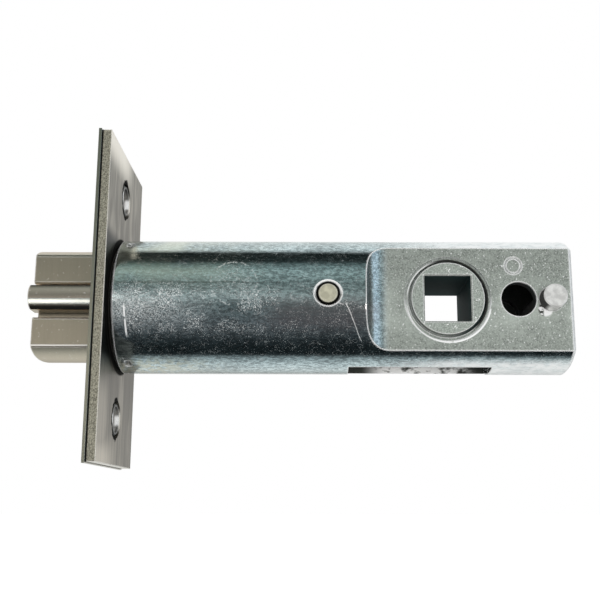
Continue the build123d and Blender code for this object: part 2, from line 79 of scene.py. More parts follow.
# Studio
FLOOR_HEIGHT = -0.09
FLOOR_RADIUS = 6.0
FLOOR_COLOUR = (0.86, 0.86, 0.85, 1)
FLOOR_GLOW = 0.75
WHITE = (1, 1, 1, 1)

# Places on the part, worked out from the frame where it holds them
MOUNTS = {mount["name"]: mount for mount in frame["record"]["mounts"]}
AXIS_X = MOUNTS["spindle_square"]["pos_m"][0]
POST_X = MOUNTS["support_post_hole"]["pos_m"][0]
POST_RADIUS = MOUNTS["support_post_hole"]["dims"]["r_mm"] * MM
SCREW_UP = MOUNTS["faceplate_screws"]["dims"]["spacing_y_mm"] / 2 * MM
CASE_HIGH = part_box("near_case_half")[1]
CASE_RADIUS = CASE_HIGH.z
CASE_REAR = CASE_HIGH.x
PIN_LOW, PIN_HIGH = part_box("cross_pin")
PIN_X = (PIN_LOW.x + PIN_HIGH.x) / 2
END_PIN_LOW, END_PIN_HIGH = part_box("end_pin")
END_PIN_X = (END_PIN_LOW.x + END_PIN_HIGH.x) / 2
FLAT_OFFSET = END_PIN_HIGH.y
FLAT_FRONT = 0.04995
SQUARE_HALF = 0.004
HUB_RADIUS = 0.0063
RECESS_DEPTH = 0.0003
RECESS_RIGHT = 0.0002
RECESS_DOWN = 0.0003
STAKE_X = 0.0048
STAKE_TURNS = (math.radians(55), math.radians(-67))
SEAM_REAR = 0.00085
BOLT_CORNER = 0.0081

# Marks, painted highlights and painted shade on the case
# A pair is where a change begins and ends. A third value is how soft both ends of a stretch are.
# TURN is the angle round the case's axis, from 0 on its near side. PALE_TOP and PALE_BOTTOM are
# the upward part of a surface's normal. All other values are metres.
STAIN_X = (0.034, 0.012)
STAIN_TURN = (-0.1, 0.4)
OLIVE_X = (0.026, 0.008)
OLIVE_TURN = (-0.9, -1.2)
TARNISH_X = (0.029, 0.047, 0.004)
TARNISH_TURN = (-0.50, -0.10, 0.14)
SHEEN_Z = (-0.005, 0.002, 0.004)
BELT_X = (0.062, 0.012)
BELT_TURN = (-0.56, 0.14, 0.16)
LIT_PATCH_X = (0.024, 0.005)
LIT_PATCH_TURN = (-0.42, -0.08, 0.16)
PALE_X = (0.044, 0.064)
PALE_TOP = (0.62, 0.82)
PALE_BOTTOM = (-0.825, -0.935)
LINE_X = (0.004, 0.030, 0.006)
LINE_TURN = 0.13
LINE_WIDTH = (0.022, 0.006)
SCRATCH_X = 0.0413
SCRATCH_SLOPE = -0.0046
SCRATCH_WANDER = 0.0009
SCRATCH_TURN = (-0.72, -0.08, 0.04)
SCRATCH_WIDTH = (0.00013, 0.00004)
RIM_SCRATCH_X = 0.00495
RIM_SCRATCH_SLOPE = -0.0007
RIM_SCRATCH_TURN = (-0.62, -0.16, 0.06)
RIM_SCRATCH_WIDTH = (0.00022, 0.00008)
SCUFF_X = 0.0234
SCUFF_UP = 0.0018
SCUFF_RADIUS = 0.0040
CHIP_X = END_PIN_X - 0.0011
CHIP_DOWN = 0.0018
CHIP_EDGE = (0.00145, 0.00105)
CHIP_DARK_X = (-0.0006, -0.0002)
PIN_FACE = 0.0016
PIN_GAP = (0.00168, 0.00203, 0.00004)
PIN_RING = (0.00208, 0.00240, 0.00005)
PIN_LEVEL = (0.0095, 0.0100)
SLOT_WALL_Y = (0.0006, 0.0012)
SLOT_WALL_Z = (-0.0085, -0.0090)
SLOT_RUBBED_X = (0.0480, 0.0645, 0.0025)
HUB_RING = 0.0073
HUB_RING_WIDTH = (0.00022, 0.00008)
HUB_SHADE_LINE = HUB_RING - 0.00042
HUB_SHADE_LINE_WIDTH = (0.00014, 0.00004)
HUB_GAP_EDGE = (HUB_RADIUS + 0.00086, HUB_RADIUS + 0.00068)
HUB_GAP_REARWARD = (-0.0006, 0.0030)
HUB_GLINT = (HUB_RADIUS + 0.00055, HUB_RADIUS + 0.00075, 0.00008)
HUB_GLINT_CORNER = (0.0068, 0.0084)
HUB_EDGE = (0.0084, 0.0080)
STAKE_EDGE = (0.0011, 0.0004)

# Lighter and darker places on the forend and the faceplate, mostly painted shade, painted reflection and
# painted glints, as pairs of the same kind
FOREND_SHADE_UP = (0.026, 0.010)
FOREND_DARK_UP = (0.0125, 0.0095)
FOREND_DARK_Y = (0.002, -0.004)
FOREND_PALE_Y = (0.007, -0.004)
FOREND_PALE_Z = (0.0215, 0.0275)
FOREND_NEAR_Y = (-0.005, -0.011)
FOREND_NEAR_Z = (-0.012, -0.018)
FOREND_END_Y = (0.004, -0.010)
FOREND_END_Z = (-0.0225, -0.0275)
SCREW_HOLE = 0.0033
SCREW_CHIPS = 0.0012
SCREW_EDGE = (0.0036, 0.0040)
SCREW_SHINE_Y = (0.0008, 0.0018)
SCREW_SHINE_UP = (0.0024, 0.0010)
DISH_X = (0.00055, 0.00075)
DISH_GLINT_X = (0.0009, 0.0016)
DISH_GLINT_UP = (0.0012, 0.0005)
DISH_DARK_UP = (0.0014, 0.0024)


class Graph:
    """Adds shader nodes to one tree and links their sockets."""

    def __init__(self, tree):
        self.tree = tree
        tree.nodes.clear()

    def node(self, kind, sockets=None, **settings):
        made = self.tree.nodes.new("ShaderNode" + kind)
        for key, value in settings.items():
            setattr(made, key, value)
        for key, value in (sockets or {}).items():
            self.put(made.inputs[key], value)
        return made

    def put(self, socket, value):
        if isinstance(value, bpy.types.NodeSocket):
            self.tree.links.new(value, socket)
        else:
            socket.default_value = value

    def math(self, operation, a, b=0.0, c=0.0):
        return self.node("Math", {0: a, 1: b, 2: c}, operation=operation).outputs[0]

    def minus(self, a, b):
        return self.math("SUBTRACT", a, b)

    def size(self, value):
        return self.math("ABSOLUTE", value)

    def reach(self, a, b):
        """Length of a way that goes a along one axis and b along another."""
        return self.math("SQRT", self.math("ADD", self.product(a, a), self.product(b, b)))

    def most(self, *values):
        greatest = values[0]
        for value in values[1:]:
            greatest = self.math("MAXIMUM", greatest, value)
        return greatest

    def product(self, *factors):
        total = factors[0]
        for factor in factors[1:]:
            total = self.math("MULTIPLY", total, factor)
        return total

    def step(self, value, low, high):
        """0 below low, 1 above high, smooth between; low may be the larger one."""
        made = self.node("MapRange", {"Value": value, "From Min": low, "From Max": high},
                         interpolation_type="SMOOTHSTEP")
        return made.outputs["Result"]

    def span(self, value, low, high, soft):
        """1 between low and high, with soft ends."""
        rise = self.step(value, low - soft, low + soft)
        return self.product(rise, self.step(value, high + soft, high - soft))

    def mix(self, factor, a, b, blend="MIX"):
        made = self.node("Mix", {0: factor, 6: a, 7: b}, data_type="RGBA", blend_type=blend)
        return made.outputs[2]

    def lerp(self, factor, a, b):
        made = self.node("Mix", {0: factor, 2: a, 3: b}, data_type="FLOAT")
        return made.outputs[0]

    def ramp(self, value, stops):
        made = self.node("ValToRGB", {"Fac": value})
        ramp = made.color_ramp
        while len(ramp.elements) < len(stops):
            ramp.elements.new(1.0)
        for element, (place, colour) in zip(ramp.elements, stops):
            element.position = place
            element.color = colour
        return made.outputs["Color"]

    def noise(self, vector, scale, detail=2.0, roughness=0.5, distortion=0.0):
        sockets = {"Vector": vector, "Scale": scale, "Detail": detail, "Roughness": roughness,
                   "Distortion": distortion}
        return self.node("TexNoise", sockets).outputs["Fac"]

    def stretch(self, vector, scale):
        made = self.node("VectorMath", {0: vector, 1: scale}, operation="MULTIPLY")
        return made.outputs[0]

    def parts(self, vector):
        return self.node("SeparateXYZ", {0: vector}).outputs


class Surface(Graph):
    """A metal surface: common inputs, and the shader that closes the tree."""

    def __init__(self, name):
        self.material = bpy.data.materials.new(name)
        self.material.use_nodes = True
        super().__init__(self.material.node_tree)
        coordinates = self.node("TexCoord").outputs
        self.place = coordinates["Object"]
        self.x, self.y, self.z = self.parts(self.place)
        self.facing_x, self.facing_y, self.facing_z = self.parts(coordinates["Normal"])
        self.turn = self.math("ARCTAN2", self.z, self.math("MULTIPLY", self.y, -1.0))

    def round_y(self, x):
        """Distance from an axis along Y that stands at x."""
        return self.reach(self.minus(self.x, x), self.z)

    def hairline(self, field, width):
        """1 on the thin curve where a noise field crosses one half."""
        return self.step(self.size(self.minus(field, 0.5)), width, width * 0.3)

    def edges(self, radius, gentle=0.985, sharp=0.92):
        """(soft normal, 0 to 1 on the edges) for edges rounded to a radius; the other two
        values are the cosines at which an edge begins to show and shows in full."""
        soft = self.node("Bevel", {"Radius": radius}, samples=6).outputs["Normal"]
        hard = self.node("NewGeometry").outputs["Normal"]
        dot = self.node("VectorMath", {0: soft, 1: hard}, operation="DOT_PRODUCT").outputs["Value"]
        return soft, self.step(dot, gentle, sharp)

    def lean(self, normal, target, share):
        """Normal turned part of the way to a fixed direction."""
        kept = self.minus(1.0, share)
        old = self.node("VectorMath", {0: normal, "Scale": kept}, operation="SCALE").outputs[0]
        new = self.node("VectorMath", {0: target, "Scale": share}, operation="SCALE").outputs[0]
        total = self.node("VectorMath", {0: old, 1: new}, operation="ADD").outputs[0]
        return self.node("VectorMath", {0: total}, operation="NORMALIZE").outputs[0]

    def bump(self, height, depth, normal):
        sockets = {"Height": height, "Distance": depth, "Strength": 1.0, "Normal": normal}
        return self.node("Bump", sockets).outputs["Normal"]

    def close(self, colour, roughness, normal, metallic=1.0, specular=0.5):
        sockets = {"Base Color": colour, "Metallic": metallic, "Roughness": roughness,
                   "Specular IOR Level": specular, "Normal": normal}
        shader = self.node("BsdfPrincipled", sockets)
        self.node("OutputMaterial", {"Surface": shader.outputs[0]})
        return self.material


def grey(value, tint=(1.0, 1.0, 1.0)):
    """RGBA from a level and a tint."""
    return (value * tint[0], value * tint[1], value * tint[2], 1)


# Materials

CAST_GRAIN = 4200.0
# Pale tone for bare metal and for painted highlights and glints
BRIGHT_TONE = grey(0.97)
# Colour of painted shade in the hub's square hole and round its face
HOLE_DARK = (0.012, 0.034, 0.034, 1)
DARK = (0.010, 0.010, 0.009, 1)
COOL = (0.92, 1.0, 1.01)
GREEN = (0.97, 1.04, 0.95)
BROWN = (1.15, 0.96, 0.95)
WARM = (1.04, 1.0, 0.93)
OLIVE = (1.10, 1.01, 0.80)
NICKEL = (1.20, 1.0, 0.78)
BRONZED = (1.36, 1.0, 0.82)
TAN = (1.09, 1.0, 0.87)
STRAW = (1.08, 1.04, 0.86)
CROWN_FACING = (0.0, -math.cos(math.radians(12)), math.sin(math.radians(12)))


def zinc_case():
    """Blue-passivated zinc: bright and scratched round the tube, matt and grainy on the flats."""
    s = Surface("zinc_case")
    soft, edge_wear_and_highlight = s.edges(0.0004, 0.992, 0.955)
    flat = s.product(s.step(s.x, FLAT_FRONT - 0.0015, FLAT_FRONT),
                     s.step(s.size(s.facing_y), 0.86, 0.98))
    rear_end = s.product(s.step(s.x, CASE_REAR - 0.0008, CASE_REAR - 0.0004),
                         s.step(s.facing_x, 0.86, 0.98))
    flat = s.most(flat, rear_end)
    hollow = s.product(s.step(s.facing_x, 0.05, 0.2), s.step(s.x, FLAT_FRONT + 0.001, FLAT_FRONT))
    cloud = s.noise(s.place, 140.0, 3.0)
    grain = s.noise(s.place, CAST_GRAIN, 3.0, 0.6)
    blotch = s.noise(s.place, 1100.0, 2.0)
    rub = s.noise(s.stretch(s.place, (0.12, 1.0, 1.0)), 1300.0, 2.0, 0.6)
    tube_colour = s.mix(s.step(cloud, 0.3, 0.7), grey(0.62, COOL), grey(0.88, COOL))
    tube_colour = s.mix(s.product(s.step(rub, 0.45, 0.75), 0.5), tube_colour, grey(0.46, COOL))
    tube_colour = s.mix(s.product(s.step(blotch, 0.52, 0.72), 0.5), tube_colour, grey(0.95, COOL))
    mottle = s.noise(s.stretch(s.place, (0.45, 1.0, 1.0)), 2700.0, 2.0, 0.6, 0.4)
    shade = s.product(s.lerp(s.step(grain, 0.34, 0.66), 0.80, 1.14),
                      s.lerp(s.step(mottle, 0.38, 0.62), 0.66, 1.26),
                      s.lerp(drawn_line(s), 1.0, 0.55))
    tube_colour = s.mix(1.0, tube_colour, shade, "MULTIPLY")
    stain = s.product(s.step(s.x, *STAIN_X), s.step(s.turn, *STAIN_TURN), s.step(cloud, 0.3, 0.6))
    tube_colour = s.mix(s.product(stain, 0.7), tube_colour, grey(0.84, STRAW))
    below = s.product(s.step(s.x, *OLIVE_X), s.step(s.turn, *OLIVE_TURN), s.step(blotch, 0.35, 0.6))
    tube_colour = s.mix(s.product(below, 0.7), tube_colour, grey(0.70, OLIVE))
    tarnish = s.product(s.span(s.x, *TARNISH_X), s.span(s.turn, *TARNISH_TURN))
    tube_colour = s.mix(s.product(tarnish, 0.75), tube_colour, grey(0.56, BROWN))
    # Painted shade on the steep wall where the tube runs out into the flats
    run_out_shade = s.product(hollow, s.step(s.facing_x, 0.66, 0.84))
    tube_colour = s.mix(s.product(run_out_shade, 0.8), tube_colour, grey(0.05, COOL))
    flat_colour = s.mix(s.step(grain, 0.32, 0.68), grey(0.20, GREEN), grey(0.46, GREEN))
    flat_colour = s.mix(s.product(s.step(blotch, 0.40, 0.75), 0.6), flat_colour, grey(0.46, GREEN))
    # Painted sheen: a lighter band across the flats, a little below their middle, broken by noise
    sheen = s.product(s.span(s.z, *SHEEN_Z), s.step(cloud, 0.26, 0.56), 0.60)
    flat_colour = s.mix(sheen, flat_colour, grey(0.70, GREEN))
    colour = s.mix(flat, tube_colour, flat_colour)
    torn_bright, torn_dark = pin_chip(s)
    # Pale marks: scratches, scuffs and the torn chip, with painted highlights on rims, faces and the hub's
    # recess, and painted glints
    marks = s.most(scuffs_and_glints(s, flat), long_scratch(s), rim_scratch(s), pin_rim_highlight(s), hub_recess_highlight(s),
                   round_scuff(s), rear_rim_highlight(s), top_and_bottom_highlights(s), torn_bright)
    # Pale edges are part wear, part painted highlight on rounded edges; weaker round the upper half of the
    # hub
    round_hub = s.product(s.step(hub_recess(s), *HUB_EDGE), s.step(s.z, -0.002, 0.002))
    edge_wear_and_highlight = s.product(edge_wear_and_highlight, s.lerp(round_hub, 1.0, 0.25))
    bare_and_highlight = s.most(edge_wear_and_highlight, marks)
    colour = s.mix(bare_and_highlight, colour, BRIGHT_TONE)
    # Painted shade, darker stake dents and the dark torn metal below the end pin
    shade_and_dark_marks = s.most(case_shade_and_dents(s), torn_dark)
    colour = s.mix(shade_and_dark_marks, colour, DARK)
    # The slot's far wall is painted shade, with rubbed bright stretches
    wall, bright_patches = slot_wall(s)
    colour = s.mix(wall, colour, s.mix(bright_patches, grey(0.05, GREEN), BRIGHT_TONE))
    shade_and_dark_marks = s.most(shade_and_dark_marks, wall)
    tube_rough = s.lerp(s.step(rub, 0.35, 0.75), 0.08, 0.17)
    flat_rough = s.lerp(s.step(grain, 0.3, 0.7), 0.38, 0.54)
    rough = s.lerp(flat, s.lerp(hollow, tube_rough, 0.26), flat_rough)
    rough = s.lerp(bare_and_highlight, rough, 0.42)
    dull = s.most(s.product(flat, 0.55), s.product(bare_and_highlight, 0.9))
    metallic = s.lerp(s.most(dull, shade_and_dark_marks), 1.0, 0.0)
    normal = s.bump(grain, s.lerp(s.most(flat, hollow), 0.000006, 0.000026), soft)
    return s.close(colour, s.lerp(shade_and_dark_marks, rough, 0.8), normal, metallic, s.lerp(shade_and_dark_marks, 0.5, 0.05))


def slot_wall(s):
    """(0 to 1 on the far wall of the slot, which is painted shade; 0 to 1 where that wall is rubbed
    bright).
    """
    wall = s.product(s.step(s.facing_y, -0.80, -0.95), s.step(s.y, *SLOT_WALL_Y), s.step(s.z, *SLOT_WALL_Z))
    broken = s.step(s.noise(s.stretch(s.place, (0.5, 1.0, 1.0)), 900.0, 3.0, 0.6), 0.38, 0.56)
    return wall, s.product(broken, s.span(s.x, *SLOT_RUBBED_X))


def drawn_line(s):
    """0 to 1 on a dark line that runs along the front half of the tube."""
    wander = s.math("MULTIPLY_ADD", s.noise(s.place, 120.0, 1.0), 0.04, LINE_TURN)
    away = s.size(s.minus(s.turn, wander))
    return s.product(s.step(away, *LINE_WIDTH), s.span(s.x, *LINE_X))


def top_and_bottom_highlights(s):
    """Painted highlight on the top and bottom of the case's rear half."""
    upright = s.most(s.step(s.facing_z, *PALE_TOP), s.step(s.facing_z, *PALE_BOTTOM))
    patchy = s.lerp(s.step(s.noise(s.place, 700.0), 0.35, 0.65), 0.62, 0.92)
    return s.product(upright, s.step(s.x, *PALE_X), s.step(s.facing_x, 0.3, 0.1), patchy)


def pin_chip(s):
    """(bright, dark) parts of the torn metal below the end pin, 0 to 1 each."""
    along = s.minus(s.x, CHIP_X)
    away = s.reach(along, s.minus(s.z, -CHIP_DOWN))
    torn = s.noise(s.stretch(s.place, (0.6, 1.0, 1.0)), 2100.0, 1.0)
    chip = s.product(s.step(away, *CHIP_EDGE), near_flat(s))
    bright = s.most(s.step(torn, 0.50, 0.56), s.step(along, *CHIP_DARK_X))
    return s.product(chip, bright), s.product(chip, s.minus(1.0, bright), 0.9)


def near_flat(s, depth=0.0):
    """1 on the near flat and on floors sunk into it down to a depth, 0 further in."""
    level = depth - FLAT_OFFSET
    return s.step(s.y, level + 0.0004, level + 0.0001)


def rear_rim_highlight(s):
    """Painted highlight on the rounded edge of the case's rear end."""
    near_end = s.step(s.x, CASE_REAR - 0.0014, CASE_REAR - 0.0006)
    return s.product(near_end, s.span(s.facing_x, 0.12, 0.84, 0.06), 0.62)


def round_scuff(s):
    """Round rubbed mark on the tube's near side: a broken ring with a paler middle."""
    away = s.reach(s.minus(s.x, SCUFF_X), s.minus(s.z, SCUFF_UP))
    ring = s.product(s.span(away, SCUFF_RADIUS - 0.0003, SCUFF_RADIUS, 0.0002),
                     s.step(s.noise(s.place, 2600.0, 2.0), 0.46, 0.60), 0.42)
    middle = s.product(s.step(away, SCUFF_RADIUS, SCUFF_RADIUS * 0.6),
                       s.step(s.noise(s.place, 5200.0, 1.0), 0.50, 0.72), 0.36)
    return s.product(s.most(ring, middle), s.step(s.y, -0.006, -0.008))


def scuffs_and_glints(s, flat):
    """0 to 1 on fine curved scratches and on specks painted as glints, thickest on the tube's lower near
    side; painted glints on the flats.
    """
    belt = s.product(s.span(s.turn, *BELT_TURN), s.step(s.x, *BELT_X))
    dense = s.product(belt, s.step(s.noise(s.place, 190.0, 2.0), 0.34, 0.62))
    wave = s.noise(s.place, 430.0, 1.0, 0.5, 0.8)
    curl = s.noise(s.stretch(s.place, (0.8, 1.0, 1.0)), 760.0, 1.0, 0.5, 1.2)
    lines = s.most(s.hairline(wave, 0.008), s.hairline(curl, 0.012))
    broken = s.step(s.noise(s.place, 700.0), 0.46, 0.58)
    fine = s.noise(s.place, 6800.0, 1.0)
    glint_speck = s.step(fine, s.lerp(dense, 0.66, 0.48), s.lerp(dense, 0.80, 0.66))
    drawn = s.product(lines, broken, s.math("MULTIPLY_ADD", dense, 0.6, 0.16))
    tube = s.most(drawn, s.product(glint_speck, s.math("MULTIPLY_ADD", dense, 0.35, 0.40)))
    # Painted light: a patch of brighter specks on the tube's lower near side, towards the front
    bright_patches = s.product(s.step(s.x, *LIT_PATCH_X), s.span(s.turn, *LIT_PATCH_TURN), s.step(fine, 0.34, 0.66))
    tube = s.most(tube, s.product(bright_patches, 0.65))
    # Painted glints on the flats
    glint = s.product(s.step(s.noise(s.place, 3300.0, 1.0), 0.64, 0.74), 0.8)
    return s.lerp(flat, tube, glint)


def long_scratch(s):
    """Thin curved scratch that runs from the cross pin down towards the slot."""
    wander = s.math("MULTIPLY_ADD", s.noise(s.place, 300.0, 1.0), SCRATCH_WANDER, SCRATCH_X)
    away = s.minus(s.x, s.math("MULTIPLY_ADD", s.turn, SCRATCH_SLOPE, wander))
    line = s.step(s.size(away), *SCRATCH_WIDTH)
    broken = s.step(s.noise(s.place, 420.0), 0.30, 0.46)
    return s.product(line, broken, s.span(s.turn, *SCRATCH_TURN), 0.55)


def rim_scratch(s):
    """Short bright scratch round the tube, beside the front rim."""
    away = s.minus(s.x, s.math("MULTIPLY_ADD", s.turn, RIM_SCRATCH_SLOPE, RIM_SCRATCH_X))
    line = s.step(s.size(away), *RIM_SCRATCH_WIDTH)
    broken = s.step(s.noise(s.place, 800.0), 0.34, 0.48)
    return s.product(line, broken, s.span(s.turn, *RIM_SCRATCH_TURN))


def pin_rim_highlight(s):
    """Painted highlight on the chipped rim round the cross pin, strongest above it."""
    ring = s.span(s.round_y(PIN_X), *PIN_RING)
    chipped = s.step(s.noise(s.place, 1300.0), 0.28, 0.42)
    above = s.lerp(s.step(s.z, -0.0012, 0.0010), 0.28, 1.0)
    return s.product(ring, chipped, above)


def hub_recess(s):
    """Distance from the centre of the shallow turned recess round the hub."""
    return s.reach(s.minus(s.x, AXIS_X + RECESS_RIGHT), s.minus(s.z, -RECESS_DOWN))


def hub_recess_highlight(s):
    """Painted highlight on the thin edge of the recess round the hub, plainest below it, and a painted
    glint up and to the front, close to the hub."""
    line = s.step(s.size(s.minus(hub_recess(s), HUB_RING)), *HUB_RING_WIDTH)
    below = s.step(s.z, 0.001, -0.003)
    chipped = s.step(s.noise(s.place, 900.0), 0.26, 0.40)
    line = s.product(line, below, chipped)
    corner = s.minus(s.z, s.minus(s.x, AXIS_X))
    glint = s.product(s.span(s.round_y(AXIS_X), *HUB_GLINT), s.step(corner, *HUB_GLINT_CORNER))
    return s.product(s.most(line, glint), near_flat(s, RECESS_DEPTH))


def case_shade_and_dents(s):
    """0 to 1: painted shade round the cross pin and the hub, down the post hole and inside; darker stake
    dents.
    """
    # Painted shade: a dark gap round the cross pin, the post hole's wall and the inside of the case
    round_pin = s.product(s.span(s.round_y(PIN_X), *PIN_GAP), s.step(s.size(s.y), *PIN_LEVEL))
    in_post = s.product(s.step(s.round_y(POST_X), POST_RADIUS + 0.00012, POST_RADIUS + 0.00005),
                        s.span(s.y, -FLAT_OFFSET + 0.0004, FLAT_OFFSET - 0.0004, 0.0003))
    from_axis = s.reach(s.y, s.z)
    inside = s.product(s.step(from_axis, CASE_RADIUS - 0.0007, CASE_RADIUS - 0.0010),
                       s.step(s.size(s.y), FLAT_OFFSET - 0.0004, FLAT_OFFSET - 0.0008),
                       s.step(s.facing_x, 0.9, 0.6))
    hidden = s.most(inside, in_post)
    # Painted shade line just inside the recess edge round the hub, darker below
    off_shade_line = s.size(s.minus(hub_recess(s), HUB_SHADE_LINE))
    shade_line = s.product(s.step(off_shade_line, *HUB_SHADE_LINE_WIDTH), near_flat(s),
                       s.lerp(s.step(s.z, 0.003, -0.002), 0.15, 0.35))
    # Painted shadow of the hub's face on the recess floor, on its rear and upper side
    rearward = s.math("MULTIPLY_ADD", s.z, 0.65, s.minus(s.x, AXIS_X))
    hub_gap = s.product(s.step(s.round_y(AXIS_X), *HUB_GAP_EDGE), near_flat(s, RECESS_DEPTH),
                        s.step(rearward, *HUB_GAP_REARWARD), 0.95)
    shade_and_dark_marks = s.most(round_pin, shade_line, hub_gap, s.product(hidden, 0.96))
    # Darker stake dents
    for turn in STAKE_TURNS:
        across = s.product(s.minus(s.turn, turn), CASE_RADIUS)
        away = s.reach(s.minus(s.x, STAKE_X), across)
        shade_and_dark_marks = s.most(shade_and_dark_marks, s.product(s.step(away, *STAKE_EDGE), 0.7))
    return shade_and_dark_marks


def brushed_forend():
    """Backing plate: streaks along its height, grainy sheared edges, painted shadow round the case, painted
    shade and glints in its holes.
    """
    s = Surface("brushed_forend")
    soft, edge_wear_and_highlight = s.edges(0.0003)
    edge = s.step(s.size(s.facing_x), 0.5, 0.3)
    streak = s.noise(s.stretch(s.place, (1.0, 1.0, 0.03)), 900.0, 5.0, 0.7)
    grain = s.noise(s.place, 5000.0, 3.0, 0.6)
    cloud = s.noise(s.stretch(s.place, (1.0, 1.0, 0.3)), 260.0, 2.0)
    up = s.size(s.z)
    face = s.mix(s.step(streak, 0.32, 0.68), grey(0.18, TAN), grey(0.37, TAN))
    # Painted shade towards the middle of the height, round the case
    face = s.mix(s.product(s.step(up, *FOREND_SHADE_UP), 0.6), face, grey(0.11, TAN))
    # Painted reflection on the upper corner; the face is also lighter towards the bottom and in random
    # patches
    pale = s.product(s.step(s.z, *FOREND_PALE_Z), s.step(s.y, *FOREND_PALE_Y), 0.9)
    low_near = s.product(s.step(s.y, *FOREND_NEAR_Y), s.step(s.z, *FOREND_NEAR_Z), 0.28)
    low_end = s.product(s.step(s.z, *FOREND_END_Z), s.step(s.y, *FOREND_END_Y), 0.6)
    patch = s.product(s.step(cloud, 0.50, 0.70), 0.22)
    face = s.mix(s.most(pale, low_near, low_end, patch), face, grey(0.95, TAN))
    # Painted shadow on the face beside the case's rim
    between = s.product(s.step(up, *FOREND_DARK_UP), s.step(s.y, *FOREND_DARK_Y))
    face = s.mix(s.product(between, 0.93), face, DARK)
    sheared = s.mix(s.step(grain, 0.34, 0.68), grey(0.17, OLIVE), grey(0.56, OLIVE))
    colour = s.mix(edge, face, sheared)
    seam = s.product(edge, s.step(s.x, SEAM_REAR, SEAM_REAR - 0.0001))
    from_axis = s.reach(s.y, s.z)
    # Painted shadow behind the case's rim
    rim_shadow = s.step(from_axis, CASE_RADIUS + 0.0005, CASE_RADIUS + 0.0001)
    off = s.minus(up, SCREW_UP)
    hole = s.reach(s.y, off)
    # Painted shade in the screw holes, ragged at their near edges, and a painted glint on each hole's far
    # wall
    chips = s.product(s.noise(s.place, 1400.0, 2.0), s.step(s.y, 0.0010, -0.0004))
    ragged = s.math("MULTIPLY_ADD", chips, SCREW_CHIPS, SCREW_HOLE)
    bore = s.step(s.minus(hole, ragged), 0.0001, -0.0001)
    shine = s.product(bore, s.step(s.y, *SCREW_SHINE_Y), s.step(s.size(off), *SCREW_SHINE_UP))
    dark = s.most(s.product(rim_shadow, 0.97), bore, seam)
    # Painted highlight on the downward faces and pale edges, kept off the holes' rims; painted reflection
    # on edges in the pale corner
    bottom = s.step(s.facing_z, -0.7, -0.95)
    bare_and_highlight = s.product(s.most(edge_wear_and_highlight, bottom), s.step(hole, *SCREW_EDGE), 0.9)
    bare_and_highlight = s.most(bare_and_highlight, s.product(pale, s.step(edge, 0.6, 0.4), 0.65))
    colour = s.mix(bare_and_highlight, colour, grey(0.95, WARM))
    colour = s.mix(dark, colour, s.mix(shine, DARK, grey(0.95, WARM)))
    rough = s.lerp(edge, s.lerp(streak, 0.34, 0.52), 0.44)
    rough = s.lerp(dark, rough, 0.8)
    metallic = s.lerp(bare_and_highlight, s.lerp(edge, 1.0, 0.6), 0.15)
    metallic = s.lerp(dark, metallic, 0.0)
    normal = s.bump(streak, s.lerp(edge, 0.000010, 0.0), soft)
    normal = s.bump(grain, s.lerp(edge, 0.000003, 0.000026), normal)
    return s.close(colour, rough, normal, metallic, s.lerp(dark, 0.5, 0.05))


def satin_faceplate():
    """Thin outer plate: satin, brushed along its height, with painted shade and a painted glint behind its
    dimples.
    """
    s = Surface("satin_faceplate")
    soft, edge_wear_and_highlight = s.edges(0.00012)
    streak = s.noise(s.stretch(s.place, (1.0, 1.0, 0.02)), 3200.0, 4.0, 0.65)
    cloud = s.noise(s.place, 70.0, 2.0)
    edge = s.step(s.size(s.facing_x), 0.5, 0.3)
    colour = s.mix(streak, grey(0.55, WARM), grey(0.70, WARM))
    colour = s.mix(s.product(cloud, 0.4), colour, grey(0.70, WARM))
    colour = s.mix(edge, colour, grey(0.36, OLIVE))
    # Painted highlight on the downward faces; pale edges are part wear, part painted highlight
    bottom = s.step(s.facing_z, -0.7, -0.95)
    bare_and_highlight = s.most(s.product(edge_wear_and_highlight, 0.5), s.product(bottom, 0.8))
    colour = s.mix(bare_and_highlight, colour, grey(0.88, WARM))
    # Behind the dimples, seen through the screw holes: painted shade with a painted glint
    behind = s.step(s.x, *DISH_X)
    aside = s.size(s.minus(s.size(s.z), SCREW_UP))
    glint = s.product(s.step(aside, *DISH_GLINT_UP), s.step(s.x, *DISH_GLINT_X))
    dish = s.mix(s.step(aside, *DISH_DARK_UP), grey(0.16, WARM), DARK)
    colour = s.mix(behind, colour, s.mix(glint, dish, BRIGHT_TONE))
    rough = s.lerp(streak, 0.26, 0.40)
    metallic = s.lerp(s.most(behind, bottom), 1.0, 0.1)
    normal = s.bump(streak, 0.000008, soft)
    return s.close(colour, rough, normal, metallic)


